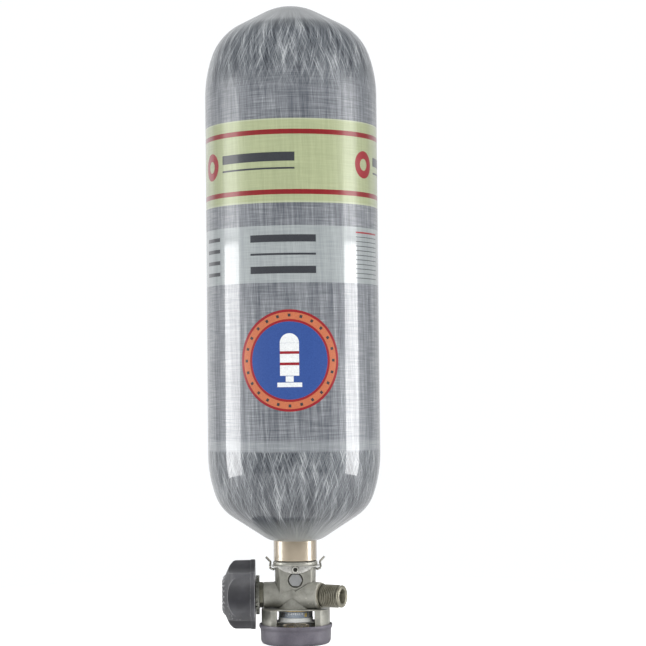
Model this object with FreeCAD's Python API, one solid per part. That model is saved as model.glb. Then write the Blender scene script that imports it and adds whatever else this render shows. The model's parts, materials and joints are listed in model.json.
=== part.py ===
"""Breathing-air cylinder with its shut-off valve, the pressure vessel of an air pack.

The vessel hangs valve-down. The row frame has its origin on the cylinder's axis at the
lowest plane of the rubber bumper, +Z up along that axis to the closed dome, +X towards the
hose outlet's side and -Y towards the front, where the relief plug sits.

All lengths are millimetres. Parts on the knob's axis are drawn by their distance out from
the cylinder's axis, so a larger station is further from the valve body.
"""

import FreeCAD
import Part
import math
import os

from FreeCAD import Placement, Rotation, Vector

# ---- driving dimensions: the vessel -------------------------------------------------
VESSEL_R = 79.5            # outside radius of the wound vessel
APEX_Z = 589.0             # tip of the closed dome
LOWER_TANGENT_Z = 174.3    # where the lower dome meets the straight barrel
BODY_ARC_R = 114.0         # gentle arc next to the straight barrel
LOWER_SHOULDER_R = 39.0    # tight shoulder arc of the lower dome
UPPER_SHOULDER_R = 50.0    # and of the closed dome
SHOULDER_TOP_DEG = 70.5    # meridian slope where the two arcs meet
LOWER_FLANK_DEG = 33.0     # slope of the straight flank by the neck
UPPER_FLANK_DEG = 28.0     # slope of the straight flank by the tip
CROWN_ARC_R = 20.0         # rounding of the wound edge round the neck
CROWN_START_R = 28.0       # radius where that rounding starts
CAP_ARC_R = 54.0           # rounded tip of the closed dome
GLASS_T = 1.5              # glass-fibre outer layer
CARBON_T = 5.5             # carbon-fibre structural layer
LINER_T = 2.6              # seamless aluminium liner
NECK_R = 19.9              # outside of the liner's bare neck
NECK_FACE_Z = 76.5         # lower end face of the neck
INLET_R = 11.0             # valve's inlet thread, 7/8 inch nominal
INLET_LENGTH = 27.0
INLET_BORE_R = 2.1         # clear of the raised crown round the seat's orifice
LABEL_T = 0.3              # films laid under the clear resin, flush with it
BAND_Z = (398.9, 474.0)    # luminous band
RATING_Z = (327.8, 378.5)  # rating label
DECAL_Z = 258.7            # centre of the round decal
DECAL_R = 45.3             # its radius along the barrel's surface
DECAL_TURN_DEG = -2.4      # how far round from the front its centre lies

# ---- driving dimensions: the valve --------------------------------------------------
AXIS_Z = 44.5              # height of the knob's and the outlet's axes
OUTLET_DEG = 27.0          # the outlet turns this far from +X towards the front
FLANGE_R = 20.5
FLANGE_Z = (71.9, 75.6)
BARREL_R = 18.8            # upright barrel under the flange
FLAT_Y = 12.3              # its two wrench flats, front and back
KNUCKLE_R = 13.9           # forged knuckle where the barrels cross
ARM_ROOT_R = 13.6          # both side barrels where they leave the knuckle
ARM_R = 12.0               # barrel of the knob's arm at its outer part
ARM_END = 30.0             # station of that barrel's outer end
BOSS_R = 12.2              # outlet boss at its outer end
BOSS_END = 25.8
LOWER_FACE_Z = 32.2        # seat for the gauge guard
LOWER_BOSS_R = (12.8, 16.2)    # drafted boss under the knuckle, at its top and bottom
FLAT_RUNOUT = (17.0, 58.6, 48.4)    # the flats end in a V: half width, upper and lower height
CHAMBER_R = 7.0
CHAMBER_SPAN = (-3.0, 16.0)    # stations of the chamber's seat end and bonnet end
SEAT_R = 2.2               # orifice that the soft seat closes
BONNET_THREAD_R = 9.0
RUNNING_GAP = 0.05         # radial clearance of turning fits
THREAD_LEAD = 1.25         # travel of the plug for each turn
OPENING_TURNS = 2.5
PLUG_SLOT_FLOOR = 3.4      # station of the floor of the plug's driving slot
TONGUE_START = PLUG_SLOT_FLOOR + THREAD_LEAD * OPENING_TURNS + 0.475
SPINDLE_R = 4.0
DRIVE_SQUARE = 6.6         # square on the spindle that drives the knob
OUTLET_THREAD_R = 10.48    # 0.825 inch external thread
OUTLET_BORE_R = 6.35
OUTLET_END = 48.5
RELIEF_Z = 58.7            # height of the relief plug
SCREW_Z = 68.4             # height of the bracket's screw
SHEET_T = 1.2              # sheet of the hanger bracket
SHEET_GAP = 0.05           # and its gap to the flange and to the barrel's flats
GAUGE_PORT_R = 6.05
GAUGE_PORT_TOP = 36.6      # the port ends 0.9 below the chamber

# ---- driving dimensions: knob, guard, bumper, gauge ---------------------------------
KNOB_LOBES = 5
LOBE_TIP_R = 5.0
LOBE_CENTRE_R = 28.0
GRIP_HOLLOW_R = 34.0       # radius of the shallow finger hollows between lobes
KNOB_SPAN = (37.0, 67.1)   # stations of the knob's inner rim and outer face
KNOB_TURN_DEG = 2.0        # how far the lobes are turned from a level finger hollow
GUARD_R = 31.5
GUARD_FLAT_Y = 22.0
GUARD_WALL = 2.8
GUARD_TOP_Z = LOWER_FACE_Z
GUARD_PLATE_T = 1.2
WINDOW_HALF = 17.5
BUMPER_TOP_Z = 18.3
BUMPER_R = 32.2
BUMPER_LIP_R = 33.7
LENS_R = 17.2
LENS_WALL = 1.3
LENS_FACE_Z = 6.5
CASE_FACE_Z = 30.4

ORIGIN = Vector(0, 0, 0)
UP = Vector(0, 0, 1)
KNOB_FRAME = Placement(Vector(0, 0, AXIS_Z), Rotation(Vector(0, 1, 0), -90))
OUTLET_FRAME = Placement(
    Vector(0, 0, AXIS_Z),
    Rotation(UP, -OUTLET_DEG).multiply(Rotation(Vector(0, 1, 0), 90)),
)
RELIEF_FRAME = Placement(Vector(0, 0, RELIEF_Z), Rotation(Vector(1, 0, 0), 90))


# ---- small building blocks ----------------------------------------------------------
def rod(radius, start, end):
    """Round bar about +Z from height start to height end."""
    return Part.makeCylinder(radius, end - start, Vector(0, 0, start))


def tube(outer, inner, start, end):
    return rod(outer, start, end).cut(rod(inner, start - 1, end + 1))


def taper(radius_start, radius_end, start, end):
    return Part.makeCone(radius_start, radius_end, end - start, Vector(0, 0, start))


def block(x_span, y_span, z_span):
    size = [span[1] - span[0] for span in (x_span, y_span, z_span)]
    return Part.makeBox(*size, Vector(x_span[0], y_span[0], z_span[0]))


def hexagon_bar(across_flats, start, end):
    corner = across_flats / 2 / math.cos(math.pi / 6)
    angles = [math.radians(60 * k) for k in range(7)]
    points = [Vector(corner * math.cos(a), corner * math.sin(a), start) for a in angles]
    return Part.Face(Part.makePolygon(points)).extrude(Vector(0, 0, end - start))


def lathe(points):
    """Solid turned about Z from a closed outline of (radius, height) corners."""
    corners = [Vector(r, 0, h) for r, h in points]
    face = Part.Face(Part.makePolygon(corners + corners[:1]))
    return face.revolve(ORIGIN, UP, 360)


def o_ring(centre_r, section_r, height):
    return Part.makeTorus(centre_r, section_r, Vector(0, 0, height), UP)


def placed(shape, frame):
    moved = shape.copy()
    moved.Placement = frame.multiply(moved.Placement)
    return moved


def bent_rod(points, radius, bends):
    """Round wire through the points; bends holds the arc radius of each inner corner."""
    edges = []
    start = points[0]
    for before, corner, after, bend_r in zip(points, points[1:], points[2:], bends):
        back = (before - corner).normalize()
        ahead = (after - corner).normalize()
        half = back.getAngle(ahead) / 2
        trim = bend_r / math.tan(half)
        centre = corner + (back + ahead).normalize() * (bend_r / math.sin(half))
        middle = centre + (corner - centre).normalize() * bend_r
        enter = corner + back * trim
        leave = corner + ahead * trim
        edges.append(Part.LineSegment(start, enter).toShape())
        edges.append(Part.Arc(enter, middle, leave).toShape())
        start = leave
    edges.append(Part.LineSegment(start, points[-1]).toShape())
    path = Part.Wire(edges)
    section = Part.Wire(Part.makeCircle(radius, points[0], points[1] - points[0]))
    return path.makePipeShell([section], True, True)


# ---- the vessel's meridian ----------------------------------------------------------
def on_arc(centre, radius, slope_deg, sign):
    """Point of a meridian arc where its slope is slope_deg; sign is -1 on the lower dome."""
    slope = math.radians(slope_deg)
    return Vector(centre.x + radius * math.sin(slope), 0, centre.z + sign * radius * math.cos(slope))


def arc_edge(centre, radius, slope_a, slope_b, sign):
    slopes = (slope_a, (slope_a + slope_b) / 2, slope_b)
    return Part.Arc(*[on_arc(centre, radius, s, sign) for s in slopes]).toShape()


def shoulder_centres(tangent_z, shoulder_arc_r, sign):
    """Centres of the body arc and the shoulder arc of one dome."""
    body = Vector(VESSEL_R - BODY_ARC_R, 0, tangent_z)
    meet = on_arc(body, BODY_ARC_R, SHOULDER_TOP_DEG, sign)
    slope = math.radians(SHOULDER_TOP_DEG)
    shoulder = meet - Vector(math.sin(slope), 0, sign * math.cos(slope)) * shoulder_arc_r
    return body, shoulder


def crown_centre():
    """Centre of the rounding where the winding ends against the neck."""
    shoulder = shoulder_centres(LOWER_TANGENT_Z, LOWER_SHOULDER_R, -1)[1]
    flank_top = on_arc(shoulder, LOWER_SHOULDER_R, LOWER_FLANK_DEG, -1)
    slope = math.radians(LOWER_FLANK_DEG)
    drop = (flank_top.x - CROWN_START_R) * math.tan(slope)
    start = Vector(CROWN_START_R, 0, flank_top.z - drop)
    return start - Vector(math.sin(slope), 0, -math.cos(slope)) * CROWN_ARC_R


def upper_tangent_z():
    """Height where the straight barrel ends, worked down from the dome's tip."""
    flank = math.radians(UPPER_FLANK_DEG)
    top = math.radians(SHOULDER_TOP_DEG)
    cap_drop = CAP_ARC_R * (1 - math.cos(flank))
    shoulder_drop = UPPER_SHOULDER_R * (math.cos(flank) - math.cos(top))
    body_drop = BODY_ARC_R * math.cos(top)
    flank_start = CAP_ARC_R * math.sin(flank)
    body_in = BODY_ARC_R * (1 - math.sin(top))
    shoulder_in = UPPER_SHOULDER_R * (math.sin(top) - math.sin(flank))
    flank_end = VESSEL_R - body_in - shoulder_in
    flank_drop = (flank_end - flank_start) * math.tan(flank)
    return APEX_Z - cap_drop - flank_drop - shoulder_drop - body_drop


def vessel_solid(depth):
    """Solid inside the surface that lies depth below the vessel's outer surface."""
    low_body, low_shoulder = shoulder_centres(LOWER_TANGENT_Z, LOWER_SHOULDER_R, -1)
    high_z = upper_tangent_z()
    high_body, high_shoulder = shoulder_centres(high_z, UPPER_SHOULDER_R, 1)
    crown = crown_centre()
    cap = Vector(0, 0, APEX_Z - CAP_ARC_R)
    crown_r = CROWN_ARC_R - depth
    low_r, high_r = LOWER_SHOULDER_R - depth, UPPER_SHOULDER_R - depth
    body_r, cap_r = BODY_ARC_R - depth, CAP_ARC_R - depth
    neck_slope = math.degrees(math.asin((NECK_R - crown.x) / crown_r))
    edges = [
        arc_edge(crown, crown_r, neck_slope, LOWER_FLANK_DEG, -1),
        Part.LineSegment(
            on_arc(crown, crown_r, LOWER_FLANK_DEG, -1),
            on_arc(low_shoulder, low_r, LOWER_FLANK_DEG, -1),
        ).toShape(),
        arc_edge(low_shoulder, low_r, LOWER_FLANK_DEG, SHOULDER_TOP_DEG, -1),
        arc_edge(low_body, body_r, SHOULDER_TOP_DEG, 90, -1),
        Part.LineSegment(
            Vector(VESSEL_R - depth, 0, LOWER_TANGENT_Z), Vector(VESSEL_R - depth, 0, high_z)
        ).toShape(),
        arc_edge(high_body, body_r, 90, SHOULDER_TOP_DEG, 1),
        arc_edge(high_shoulder, high_r, SHOULDER_TOP_DEG, UPPER_FLANK_DEG, 1),
        Part.LineSegment(
            on_arc(high_shoulder, high_r, UPPER_FLANK_DEG, 1),
            on_arc(cap, cap_r, UPPER_FLANK_DEG, 1),
        ).toShape(),
        arc_edge(cap, cap_r, UPPER_FLANK_DEG, 0, 1),
    ]
    neck_point = on_arc(crown, crown_r, neck_slope, -1)
    foot = Vector(0, 0, neck_point.z)
    tip = Vector(0, 0, APEX_Z - depth)
    edges.append(Part.LineSegment(tip, foot).toShape())
    edges.append(Part.LineSegment(foot, neck_point).toShape())
    face = Part.Face(Part.Wire(edges))
    return face.revolve(ORIGIN, UP, 360), neck_point.z


def label_ring(z_span):
    return tube(VESSEL_R, VESSEL_R - LABEL_T, *z_span)


def decal_solid():
    """Round film on the barrel's front: round when the surface is laid flat."""
    half_width = VESSEL_R * math.sin(DECAL_R / VESSEL_R)
    outline = Part.Ellipse(Vector(0, 0, 0), DECAL_R, half_width).toShape()
    prism = Part.Face(Part.Wire(outline)).extrude(Vector(0, 0, VESSEL_R + 5))
    # the ellipse's long side is turned upright, and the prism faces the front
    turn = Rotation(Vector(1, 0, 0), 90).multiply(Rotation(UP, 90))
    prism = placed(prism, Placement(Vector(0, 0, DECAL_Z), turn))
    prism.rotate(ORIGIN, UP, DECAL_TURN_DEG)
    ring = label_ring((DECAL_Z - DECAL_R - 5, DECAL_Z + DECAL_R + 5))
    return ring.common(prism)


def vessel_parts():
    outer = vessel_solid(0)[0]
    under_glass = vessel_solid(GLASS_T)[0]
    under_carbon, _ = vessel_solid(GLASS_T + CARBON_T)
    hollow, hollow_z = vessel_solid(GLASS_T + CARBON_T + LINER_T)
    neck = rod(NECK_R, NECK_FACE_Z, hollow_z)
    band, rating, decal = label_ring(BAND_Z), label_ring(RATING_Z), decal_solid()
    glass = outer.cut(under_glass).cut(neck)
    for film in (band, rating, decal):
        glass = glass.cut(film)
    carbon = under_glass.cut(under_carbon).cut(neck)
    bore = rod(INLET_R + 0.1, NECK_FACE_Z - 1, hollow_z + 1)
    seal_pocket = rod(12.6, NECK_FACE_Z - 1, NECK_FACE_Z + 3.2)
    liner = under_carbon.fuse(neck).cut(hollow).cut(bore).cut(seal_pocket).removeSplitter()
    return {
        "glass_wrap": glass,
        "carbon_wrap": carbon,
        "liner": liner,
        "luminous_band": band,
        "rating_label": rating,
        "round_decal": decal,
    }


# ---- the valve's body ---------------------------------------------------------------
def runout_prism(side):
    """Room in front of (side -1) or behind (side 1) a wrench flat, ending in a V below."""
    half, high, low = FLAT_RUNOUT
    start = side * FLAT_Y
    points = [Vector(-half, start, high), Vector(half, start, high), Vector(0, start, low)]
    triangle = Part.Face(Part.makePolygon(points + points[:1]))
    return triangle.extrude(Vector(0, side * 20, 0))


def valve_body():
    flats = block((-30, 30), (-FLAT_Y, FLAT_Y), (AXIS_Z, FLANGE_Z[0] + 1))
    barrel = rod(BARREL_R, AXIS_Z, FLANGE_Z[0] + 1).common(flats)
    flange = lathe([
        (0, FLANGE_Z[0]), (FLANGE_R - 0.5, FLANGE_Z[0]), (FLANGE_R, FLANGE_Z[0] + 0.5),
        (FLANGE_R, FLANGE_Z[1] - 0.8), (FLANGE_R - 0.8, FLANGE_Z[1]), (15, FLANGE_Z[1]),
        (15, NECK_FACE_Z), (0, NECK_FACE_Z),
    ])
    inlet_top = NECK_FACE_Z + INLET_LENGTH
    inlet = rod(INLET_R, NECK_FACE_Z, inlet_top).cut(
        tube(INLET_R + 1, 9.9, NECK_FACE_Z + 0.3, NECK_FACE_Z + 3.2)
    )
    knuckle = Part.makeSphere(KNUCKLE_R, Vector(0, 0, AXIS_Z))
    lower = taper(LOWER_BOSS_R[1], LOWER_BOSS_R[0], LOWER_FACE_Z, AXIS_Z + 1)
    arm = placed(
        taper(ARM_ROOT_R, ARM_R, 0, 20).fuse(rod(ARM_R, 20, ARM_END - 1)).fuse(
            taper(ARM_R, ARM_R - 1, ARM_END - 1, ARM_END)
        ),
        KNOB_FRAME,
    )
    boss = placed(
        taper(ARM_ROOT_R, BOSS_R, 0, 23).fuse(rod(BOSS_R, 23, BOSS_END)), OUTLET_FRAME
    )
    body = barrel.fuse([flange, inlet, knuckle, lower, arm, boss])
    body = body.cut(block((-50, 50), (-50, 50), (LOWER_FACE_Z - 30, LOWER_FACE_Z)))
    for side in (-1, 1):
        body = body.cut(runout_prism(side))
    tube_seat_z = inlet_top - 8
    seat_end, bonnet_end = CHAMBER_SPAN
    thread_r = BONNET_THREAD_R + RUNNING_GAP
    # the step at radius 3.2 leaves a raised crown round the orifice for the soft seat
    spindle_passage = lathe([
        (0, -8.0), (SEAT_R, -8.0), (SEAT_R, seat_end + 0.8), (3.2, seat_end + 0.8),
        (3.2, seat_end), (CHAMBER_R, seat_end), (CHAMBER_R, bonnet_end), (thread_r, bonnet_end),
        (thread_r, ARM_END + 1), (0, ARM_END + 1),
    ])
    outlet_passage = lathe([
        (0, 7.0), (2.5, 7.0), (2.5, 15.0), (8.5, 15.0), (8.5, BOSS_END + 1), (0, BOSS_END + 1),
    ])
    relief_passage = lathe([
        (0, 0), (2.0, 0), (2.0, 6.0), (4.85, 6.0), (4.85, 10.2), (6.9, 10.2), (6.9, 20), (0, 20),
    ])
    passages = [
        lathe([
            (0, AXIS_Z), (INLET_BORE_R, AXIS_Z), (INLET_BORE_R, tube_seat_z), (4.2, tube_seat_z),
            (4.2, inlet_top + 1), (0, inlet_top + 1),
        ]),
        lathe([
            (0, LOWER_FACE_Z - 1), (GAUGE_PORT_R, LOWER_FACE_Z - 1),
            (GAUGE_PORT_R, GAUGE_PORT_TOP), (1.4, GAUGE_PORT_TOP), (1.4, AXIS_Z), (0, AXIS_Z),
        ]),
        placed(spindle_passage, KNOB_FRAME),
        placed(outlet_passage, OUTLET_FRAME),
        placed(relief_passage, RELIEF_FRAME),
        placed(rod(1.6, 9.0, 20), Placement(Vector(0, 0, SCREW_Z), RELIEF_FRAME.Rotation)),
    ]
    for passage in passages:
        body = body.cut(passage)
    return body.removeSplitter()


def inlet_parts():
    top = NECK_FACE_Z + INLET_LENGTH
    return {
        "neck_o_ring": o_ring(11.25, 1.25, NECK_FACE_Z + 1.75),
        "debris_tube": tube(4.15, 2.9, top - 7, top + 22),
    }


# ---- spindle, plug and bonnet, drawn on the knob's axis -----------------------------
def bonnet_parts():
    inner, head_start, head_end, neck_end = CHAMBER_SPAN[1], ARM_END, 33.2, 37.2
    nut = rod(BONNET_THREAD_R, inner, head_start)
    nut = nut.fuse(hexagon_bar(20.5, head_start, head_end)).fuse(rod(7.9, head_start, neck_end))
    nut = nut.cut(rod(SPINDLE_R + RUNNING_GAP, inner - 1, neck_end + 1))
    nut = nut.cut(tube(9, 7.2, 36.45, 37.0))
    teeth = 24
    plate = tube(17.9, 8.0, head_end, 36.3)
    for k in range(teeth):
        notch = block((16.4, 19), (-0.8, 0.8), (34.6, 37))
        notch.rotate(ORIGIN, UP, 360 * k / teeth)
        plate = plate.cut(notch)
    clip = tube(9.4, 7.3, 36.5, 36.95).cut(block((0, 12), (-2, 2), (36, 38)))
    return {
        "bonnet_nut": nut.removeSplitter(),
        "ratchet_ring": plate,
        "snap_ring": clip,
    }


def spindle_parts():
    collar = (13.7, 15.15)
    tongue = block((-4.3, 4.3), (-1.2, 1.2), (TONGUE_START, collar[0]))
    square_start, shank_end, nut_span, end = 44.4, 58.5, (59.3, 62.0), 62.2
    half = DRIVE_SQUARE / 2
    shaft = rod(SPINDLE_R, collar[0], shank_end)
    flats = block((-half, half), (-half, half), (square_start, end))
    keep = rod(SPINDLE_R, collar[0], square_start).fuse(flats)
    shaft = shaft.common(keep).fuse(rod(2.9, shank_end - 1, end))
    spindle = tongue.fuse([rod(6.4, *collar), shaft])
    spindle = spindle.cut(tube(5, 2.75, 22.0, 24.4)).removeSplitter()
    nut = hexagon_bar(10, *nut_span).cut(rod(2.95, 55, 65))
    return {
        "spindle": spindle,
        "thrust_washer": tube(6.6, SPINDLE_R + 0.1, collar[1] + 0.05, CHAMBER_SPAN[1]),
        "spindle_o_ring": o_ring(3.35, 0.6, 23.2),
        "knob_washer": tube(5.6, 2.95, shank_end + 0.05, nut_span[0]),
        "knob_nut": nut,
    }


def plug_parts():
    """The plug turns on the spindle's tongue and screws away from the seat."""
    body = rod(CHAMBER_R - 0.1, 3.6, 9.8).fuse(rod(5.2, -1.6, 3.6))
    slot = block((-9, 9), (-1.35, 1.35), (PLUG_SLOT_FLOOR, 11))
    pocket = rod(4.2, -2, 1.2)
    seat_face = CHAMBER_SPAN[0] + 0.8
    return {
        "valve_plug": body.cut(slot).cut(pocket).removeSplitter(),
        "soft_seat": rod(4.2, seat_face, 1.2),
    }


# ---- the knob -----------------------------------------------------------------------
def lobed_outline(grow):
    """Closed wire of round lobes joined by shallow hollows, at station 0."""
    step = 360 / KNOB_LOBES
    tip_r = LOBE_TIP_R + grow
    hollow_r = GRIP_HOLLOW_R - grow
    half_gap = LOBE_CENTRE_R * math.sin(math.radians(step / 2))
    lobe_in = LOBE_CENTRE_R * math.cos(math.radians(step / 2))
    reach = tip_r + hollow_r
    hollow_centre = lobe_in + math.sqrt(reach ** 2 - half_gap ** 2)
    lean = math.degrees(math.asin(half_gap / reach))

    def polar(radius, angle):
        a = math.radians(angle)
        return Vector(radius * math.cos(a), radius * math.sin(a), 0)

    edges = []
    for k in range(KNOB_LOBES):
        facing = KNOB_TURN_DEG - 90 + step * (k + 0.5)
        centre = polar(LOBE_CENTRE_R, facing)
        spread = step / 2 + lean
        edges.append(Part.Arc(
            centre + polar(tip_r, facing - spread),
            centre + polar(tip_r, facing),
            centre + polar(tip_r, facing + spread),
        ).toShape())
        next_hollow = facing + step / 2
        middle = polar(hollow_centre - hollow_r, next_hollow)
        end_centre = polar(LOBE_CENTRE_R, facing + step)
        edges.append(Part.Arc(
            centre + polar(tip_r, facing + spread),
            middle,
            end_centre + polar(tip_r, facing + step - spread),
        ).toShape())
    return Part.Wire(edges)


def lobed_bar(grow, start, end):
    bar = Part.Face(lobed_outline(grow)).extrude(Vector(0, 0, end - start))
    bar.translate(Vector(0, 0, start))
    return bar


def knob_parts():
    inner, outer = KNOB_SPAN
    envelope = lathe([
        (0, inner), (32.8, inner), (33.5, inner + 0.8), (33.5, inner + 3.4), (32.8, inner + 4.2),
        (32.5, 55.0), (31.4, 57.4), (27.4, 60.5), (21.5, 63.2), (15.7, 65.7), (13.3, 66.5),
        (12.9, outer), (0, outer),
    ])
    grip = lobed_bar(0, inner, outer).fuse(lobed_bar(0.5, inner, inner + 4.2)).common(envelope)
    hub_start, hub_flange = 47.0, (56.5, 58.5)
    grip = grip.cut(rod(20.0, inner - 1, 50.0))
    grip = grip.cut(rod(9.0, 49, 60)).cut(rod(12.5, hub_flange[0], outer + 1))
    half = DRIVE_SQUARE / 2 + 0.1
    hub = rod(9.0, hub_start, hub_flange[0]).fuse(rod(12.5, *hub_flange))
    hub = hub.cut(block((-half, half), (-half, half), (hub_start - 1, 60)))
    cap = rod(12.4, 65.6, outer)
    return {
        "knob_grip": grip.removeSplitter(),
        "knob_hub": hub.removeSplitter(),
        "knob_cap": cap,
    }


def knob_spring():
    """Coil between the snap ring and the hub that pushes the knob back out."""
    start, end, coil_r, wire_r, turns, corners = 37.9, 46.3, 7.6, 0.6, 3.5, 10
    corner_r = coil_r / math.cos(math.pi / corners)
    count = round(turns * corners)
    points = []
    for k in range(count + 1):
        angle = 2 * math.pi * k / corners
        height = start + (end - start) * k / count
        points.append(Vector(corner_r * math.cos(angle), corner_r * math.sin(angle), height))
    return bent_rod(points, wire_r, [0.92 * coil_r] * (count - 1))


# ---- outlet and relief --------------------------------------------------------------
def outlet_parts():
    seal = (BOSS_END, BOSS_END + 0.6)
    collar_end = seal[1] + 1.5
    thread_end, nose_start = 45.2, 46.0
    body = lathe([
        (0, 15.2), (8.4, 15.2), (8.4, seal[1]), (11.4, seal[1]), (11.4, collar_end - 0.4),
        (11.0, collar_end), (OUTLET_THREAD_R, collar_end), (OUTLET_THREAD_R, thread_end),
        (9.7, thread_end), (9.7, nose_start), (10.1, nose_start), (10.1, OUTLET_END - 0.8),
        (9.3, OUTLET_END), (0, OUTLET_END),
    ])
    bore = rod(OUTLET_BORE_R, 33.0, OUTLET_END - 0.8)
    mouth = taper(OUTLET_BORE_R, OUTLET_BORE_R + 0.9, OUTLET_END - 0.8, OUTLET_END + 0.1)
    body = body.cut(bore).cut(mouth).cut(rod(2.5, 14, 34))
    return {
        "outlet_fitting": body,
        "outlet_seal_ring": tube(11.2, 8.45, *seal),
    }


def relief_parts():
    head = hexagon_bar(10.6, 10.4, 12.9)
    shank = rod(4.8, 6.9, 10.4)
    plug = head.common(taper(7.2, 5.4, 10.4, 13.4)).fuse(shank)
    plug = plug.cut(rod(1.6, 6, 11)).cut(placed(
        rod(0.9, -8, 8), Placement(Vector(0, 0, 11.2), Rotation(Vector(0, 1, 0), 90))
    ))
    return {
        "relief_plug": plug.removeSplitter(),
        "burst_disc": rod(4.5, 6.6, 6.9),
        "relief_gasket": tube(4.7, 2.2, 6.0, 6.6),
    }


# ---- hanger bracket and its wire clip -----------------------------------------------
def hanger_parts():
    """Sheet collar clamped under the flange, with a crescent apron down the front flat."""
    top = FLANGE_Z[0] - SHEET_GAP
    front = FLAT_Y + SHEET_GAP
    sheet_face = front + SHEET_T
    plate = rod(22.0, top - SHEET_T, top)
    plate = plate.common(block((-22, 22), (-sheet_face, 15.4), (top - 2, top + 1)))
    seat = rod(BARREL_R + 0.1, top - 3, top + 1).common(
        block((-30, 30), (-front, front), (top - 3, top + 1))
    )
    plate = plate.cut(seat)
    tip, tip_low, low = 16.4, top - 0.9, 64.65
    left, right = Vector(-tip, -front, top), Vector(tip, -front, top)
    left_low, right_low = Vector(-tip, -front, tip_low), Vector(tip, -front, tip_low)
    outline = Part.Wire([
        Part.LineSegment(right, left).toShape(),
        Part.LineSegment(left, left_low).toShape(),
        Part.Arc(left_low, Vector(0, -front, low), right_low).toShape(),
        Part.LineSegment(right_low, right).toShape(),
    ])
    apron = Part.Face(outline).extrude(Vector(0, -SHEET_T, 0))
    screw_frame = Placement(Vector(0, 0, SCREW_Z), RELIEF_FRAME.Rotation)
    bracket = plate.fuse(apron).cut(placed(rod(1.7, 10, 20), screw_frame)).removeSplitter()
    head = taper(3.4, 3.0, sheet_face, 15.2).cut(hexagon_bar(3.8, sheet_face + 0.5, 17))
    screw = rod(1.5, 9.4, sheet_face + 0.2).fuse(head)
    return {"hanger_bracket": bracket, "bracket_screw": placed(screw, screw_frame)}


def spring_clip():
    """Wire bail: round the back of the barrel, a hooked eye at each side, and two prongs."""
    wire_r, eye_r, z = 1.0, 1.5, 68.0
    back_r = BARREL_R + wire_r + 0.3
    corner_r = back_r / math.cos(math.pi / 8)
    left = [
        Vector(-27.0, -2.0, z + 11.4),
        Vector(-22.7, -2.0, z + 6.8),
        Vector(-23.5, -5.0, z + 1.6),
        Vector(-back_r, -5.0, z),
    ]
    back = []
    for eighth in (7, 5, 3, 1):
        angle = math.pi * eighth / 8
        back.append(Vector(corner_r * math.cos(angle), corner_r * math.sin(angle), z))
    right = [Vector(-point.x, point.y, point.z) for point in reversed(left)]
    bends = [eye_r] * 3 + [0.95 * back_r] * 4 + [eye_r] * 3
    return bent_rod(left + back + right, wire_r, bends)


# ---- guard, bumper and gauge --------------------------------------------------------
def guard_plan(radius, flat_y, start, end):
    slab = block((-40, 40), (-flat_y, flat_y), (start, end))
    return rod(radius, start, end).common(slab)


def guard_parts():
    step_z, ring_low, ring_r, ring_inner = 15.2, 4.2, 29.2, 26.0
    shell = guard_plan(GUARD_R, GUARD_FLAT_Y, step_z, GUARD_TOP_Z)
    shell = shell.cut(guard_plan(
        GUARD_R - GUARD_WALL, GUARD_FLAT_Y - GUARD_WALL, step_z - 1, GUARD_TOP_Z - GUARD_PLATE_T
    ))
    window_top = GUARD_TOP_Z - GUARD_PLATE_T
    shell = shell.cut(block((-WINDOW_HALF, WINDOW_HALF), (-40, 40), (step_z + 1.3, window_top)))
    for y_span in ((-40, -LENS_R - 0.4), (LENS_R + 0.4, 40)):
        shell = shell.cut(block((-WINDOW_HALF, WINDOW_HALF), y_span, (window_top, GUARD_TOP_Z + 1)))
    ring = tube(ring_r, ring_inner, ring_low, step_z + 1.3)
    floor = guard_plan(GUARD_R, GUARD_FLAT_Y, step_z, step_z + 1.3).cut(
        rod(ring_inner, step_z - 1, step_z + 3)
    )
    guard = shell.fuse([ring, floor]).cut(rod(GAUGE_PORT_R + 0.05, 20, 40)).removeSplitter()
    bumper = lathe([
        (22.5, 0), (28.6, 0), (30.6, 0.7), (31.8, 2.2), (BUMPER_R, 4.2), (BUMPER_R + 0.3, 13.6),
        (BUMPER_LIP_R, 15.6), (BUMPER_LIP_R, BUMPER_TOP_Z), (BUMPER_LIP_R - 1.3, BUMPER_TOP_Z),
        (BUMPER_R - 0.3, 15.0), (ring_r + 0.1, 15.0), (ring_r + 0.1, 4.0), (23.0, 4.0),
        (21.5, 2.8), (21.5, 1.0),
    ])
    return {"gauge_guard": guard, "bumper": bumper}


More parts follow.
